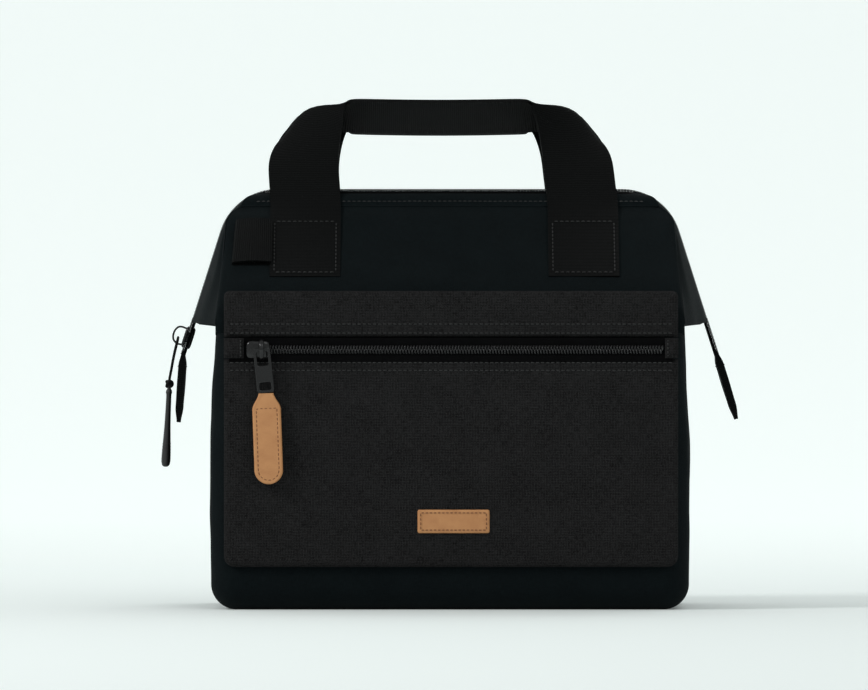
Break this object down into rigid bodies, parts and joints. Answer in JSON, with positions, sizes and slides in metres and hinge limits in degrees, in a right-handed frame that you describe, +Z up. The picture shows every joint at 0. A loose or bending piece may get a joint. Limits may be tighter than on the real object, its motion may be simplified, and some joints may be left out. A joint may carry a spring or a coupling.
{
  "type": "insulated cooler bag",
  "caption": "Small insulated lunch cooler with a zipped frame mouth, folded side wings, two webbing handles and a flat zipped front pocket with a leather pull.",
  "frame": {"origin": "middle of the base, on the surface the bag stands on", "axes": "+X to the right as seen from the front, -Y towards the front, where the pocket is, +Z up"},
  "size_m": [0.313, 0.1629, 0.2764],
  "materials": {
    "outer_fabric": "tight matt weave",
    "pocket_canvas": "heathered canvas",
    "webbing": "ribbed",
    "insulation_foam": "soft closed-cell foam",
    "liner_film": "metallised film",
    "stiffener": "plain board",
    "spring_steel": "drawn wire",
    "zip_tape": "woven tape and nylon coil",
    "slider_metal": "black nickel",
    "pull_cord": "braided",
    "pull_rubber": "satin",
    "tan_leather": "smooth grain with a dark stitch"
  },
  "bodies": {
    "body": {"outer_front": "outer_fabric", "outer_back": "outer_fabric", "outer_left": "outer_fabric", "outer_right": "outer_fabric", "outer_base": "outer_fabric", "foam_front": "insulation_foam", "foam_back": "insulation_foam", "foam_left": "insulation_foam", "foam_right": "insulation_foam", "foam_base": "insulation_foam", "base_board": "stiffener", "liner_tub": "liner_film", "side_fold_left": "outer_fabric", "side_fold_right": "outer_fabric", "zip_tail_left": "zip_tape", "zip_tail_right": "zip_tape", "pocket_panel": "pocket_canvas", "pocket_flap": "pocket_canvas", "pocket_zip_lower": "zip_tape", "pocket_zip_upper": "zip_tape", "pocket_zip_end_left": "pocket_canvas", "pocket_zip_end_right": "pocket_canvas", "leather_label": "tan_leather"},
    "front_handle": {"handle_front": "webbing"},
    "back_handle": {"handle_back": "webbing"},
    "left_tail_tab": {"tail_tab_left": "webbing"},
    "right_tail_tab": {"tail_tab_right": "webbing"},
    "main_slider": {"main_slider": "slider_metal", "main_slider_bail": "slider_metal"},
    "pull_loop": {"pull_cord": "pull_cord"},
    "main_pull": {"pull_knot": "pull_cord", "pull_grip": "pull_rubber"},
    "pocket_slider": {"pocket_slider": "slider_metal", "pocket_slider_bail": "slider_metal"},
    "pocket_puller": {"pocket_puller": "slider_metal"},
    "leather_tab": {"leather_tab": "tan_leather"},
    "mouth_front": {"upper_panel_front": "outer_fabric", "top_strip_front": "outer_fabric", "upper_foam_front": "insulation_foam", "upper_liner_front": "liner_film", "main_zip_front": "zip_tape", "frame_wire_front": "spring_steel", "wing_front_left": "outer_fabric", "wing_front_right": "outer_fabric", "handle_patch_front_left": "webbing", "handle_patch_front_right": "webbing", "accessory_loop": "webbing"},
    "mouth_back": {"upper_panel_back": "outer_fabric", "top_strip_back": "outer_fabric", "upper_foam_back": "insulation_foam", "upper_liner_back": "liner_film", "main_zip_back": "zip_tape", "frame_wire_back": "spring_steel", "wing_back_left": "outer_fabric", "wing_back_right": "outer_fabric", "handle_patch_back_left": "webbing", "handle_patch_back_right": "webbing"}
  },
  "joints": [
    {"name": "mouth_front_hinge", "type": "hinge", "parent": "body", "child": "mouth_front", "pos_m": [0, -0.075, 0.155], "axis": [-1, 0, 0], "range_deg": [-44, 0]},
    {"name": "mouth_back_hinge", "type": "hinge", "parent": "body", "child": "mouth_back", "pos_m": [0, 0.075, 0.155], "axis": [1, 0, 0], "range_deg": [-44, 0]},
    {"name": "front_handle_hinge", "type": "hinge", "parent": "mouth_front", "child": "front_handle", "pos_m": [0, -0.0165, 0.21809], "axis": [-1, 0, 0], "range_deg": [-135, 0]},
    {"name": "back_handle_hinge", "type": "hinge", "parent": "mouth_back", "child": "back_handle", "pos_m": [0, 0.0165, 0.21809], "axis": [1, 0, 0], "range_deg": [-70, 0]},
    {"name": "left_tail_tab_hinge", "type": "hinge", "parent": "body", "child": "left_tail_tab", "pos_m": [-0.14473, 0, 0.1371], "axis": [0, 1, 0], "range_deg": [-18, 0]},
    {"name": "right_tail_tab_hinge", "type": "hinge", "parent": "body", "child": "right_tail_tab", "pos_m": [0.14473, 0, 0.1371], "axis": [0, -1, 0], "range_deg": [-30, 60]},
    {"name": "main_slider_slide", "type": "slide", "parent": "body", "child": "main_slider", "axis": [0.306, 0, 0.952], "range_m": [0, 0.058]},
    {"name": "pull_loop_hinge", "type": "hinge", "parent": "main_slider", "child": "pull_loop", "pos_m": [-0.14755, 0, 0.14598], "axis": [0, 1, 0], "range_deg": [0, 14]},
    {"name": "main_pull_hinge", "type": "hinge", "parent": "pull_loop", "child": "main_pull", "pos_m": [-0.15235, 0, 0.12068], "axis": [0, 1, 0], "range_deg": [0, 120]},
    {"name": "pocket_slider_slide", "type": "slide", "parent": "body", "child": "pocket_slider", "axis": [1, 0, 0], "range_m": [0, 0.205]},
    {"name": "pocket_puller_hinge", "type": "hinge", "parent": "pocket_slider", "child": "pocket_puller", "pos_m": [-0.1007, -0.0849, 0.1393], "axis": [-1, 0, 0], "range_deg": [0, 100]},
    {"name": "leather_tab_hinge", "type": "hinge", "parent": "pocket_puller", "child": "leather_tab", "pos_m": [-0.0983, -0.0849, 0.11643], "axis": [-1, 0, 0], "range_deg": [0, 80]}
  ],
  "couplings": [
    {"joint": "mouth_back_hinge", "follows": "mouth_front_hinge", "ratio": 1},
    {"joint": "pull_loop_hinge", "follows": "main_slider_slide", "rad_per_m": 4.2099}
  ]
}
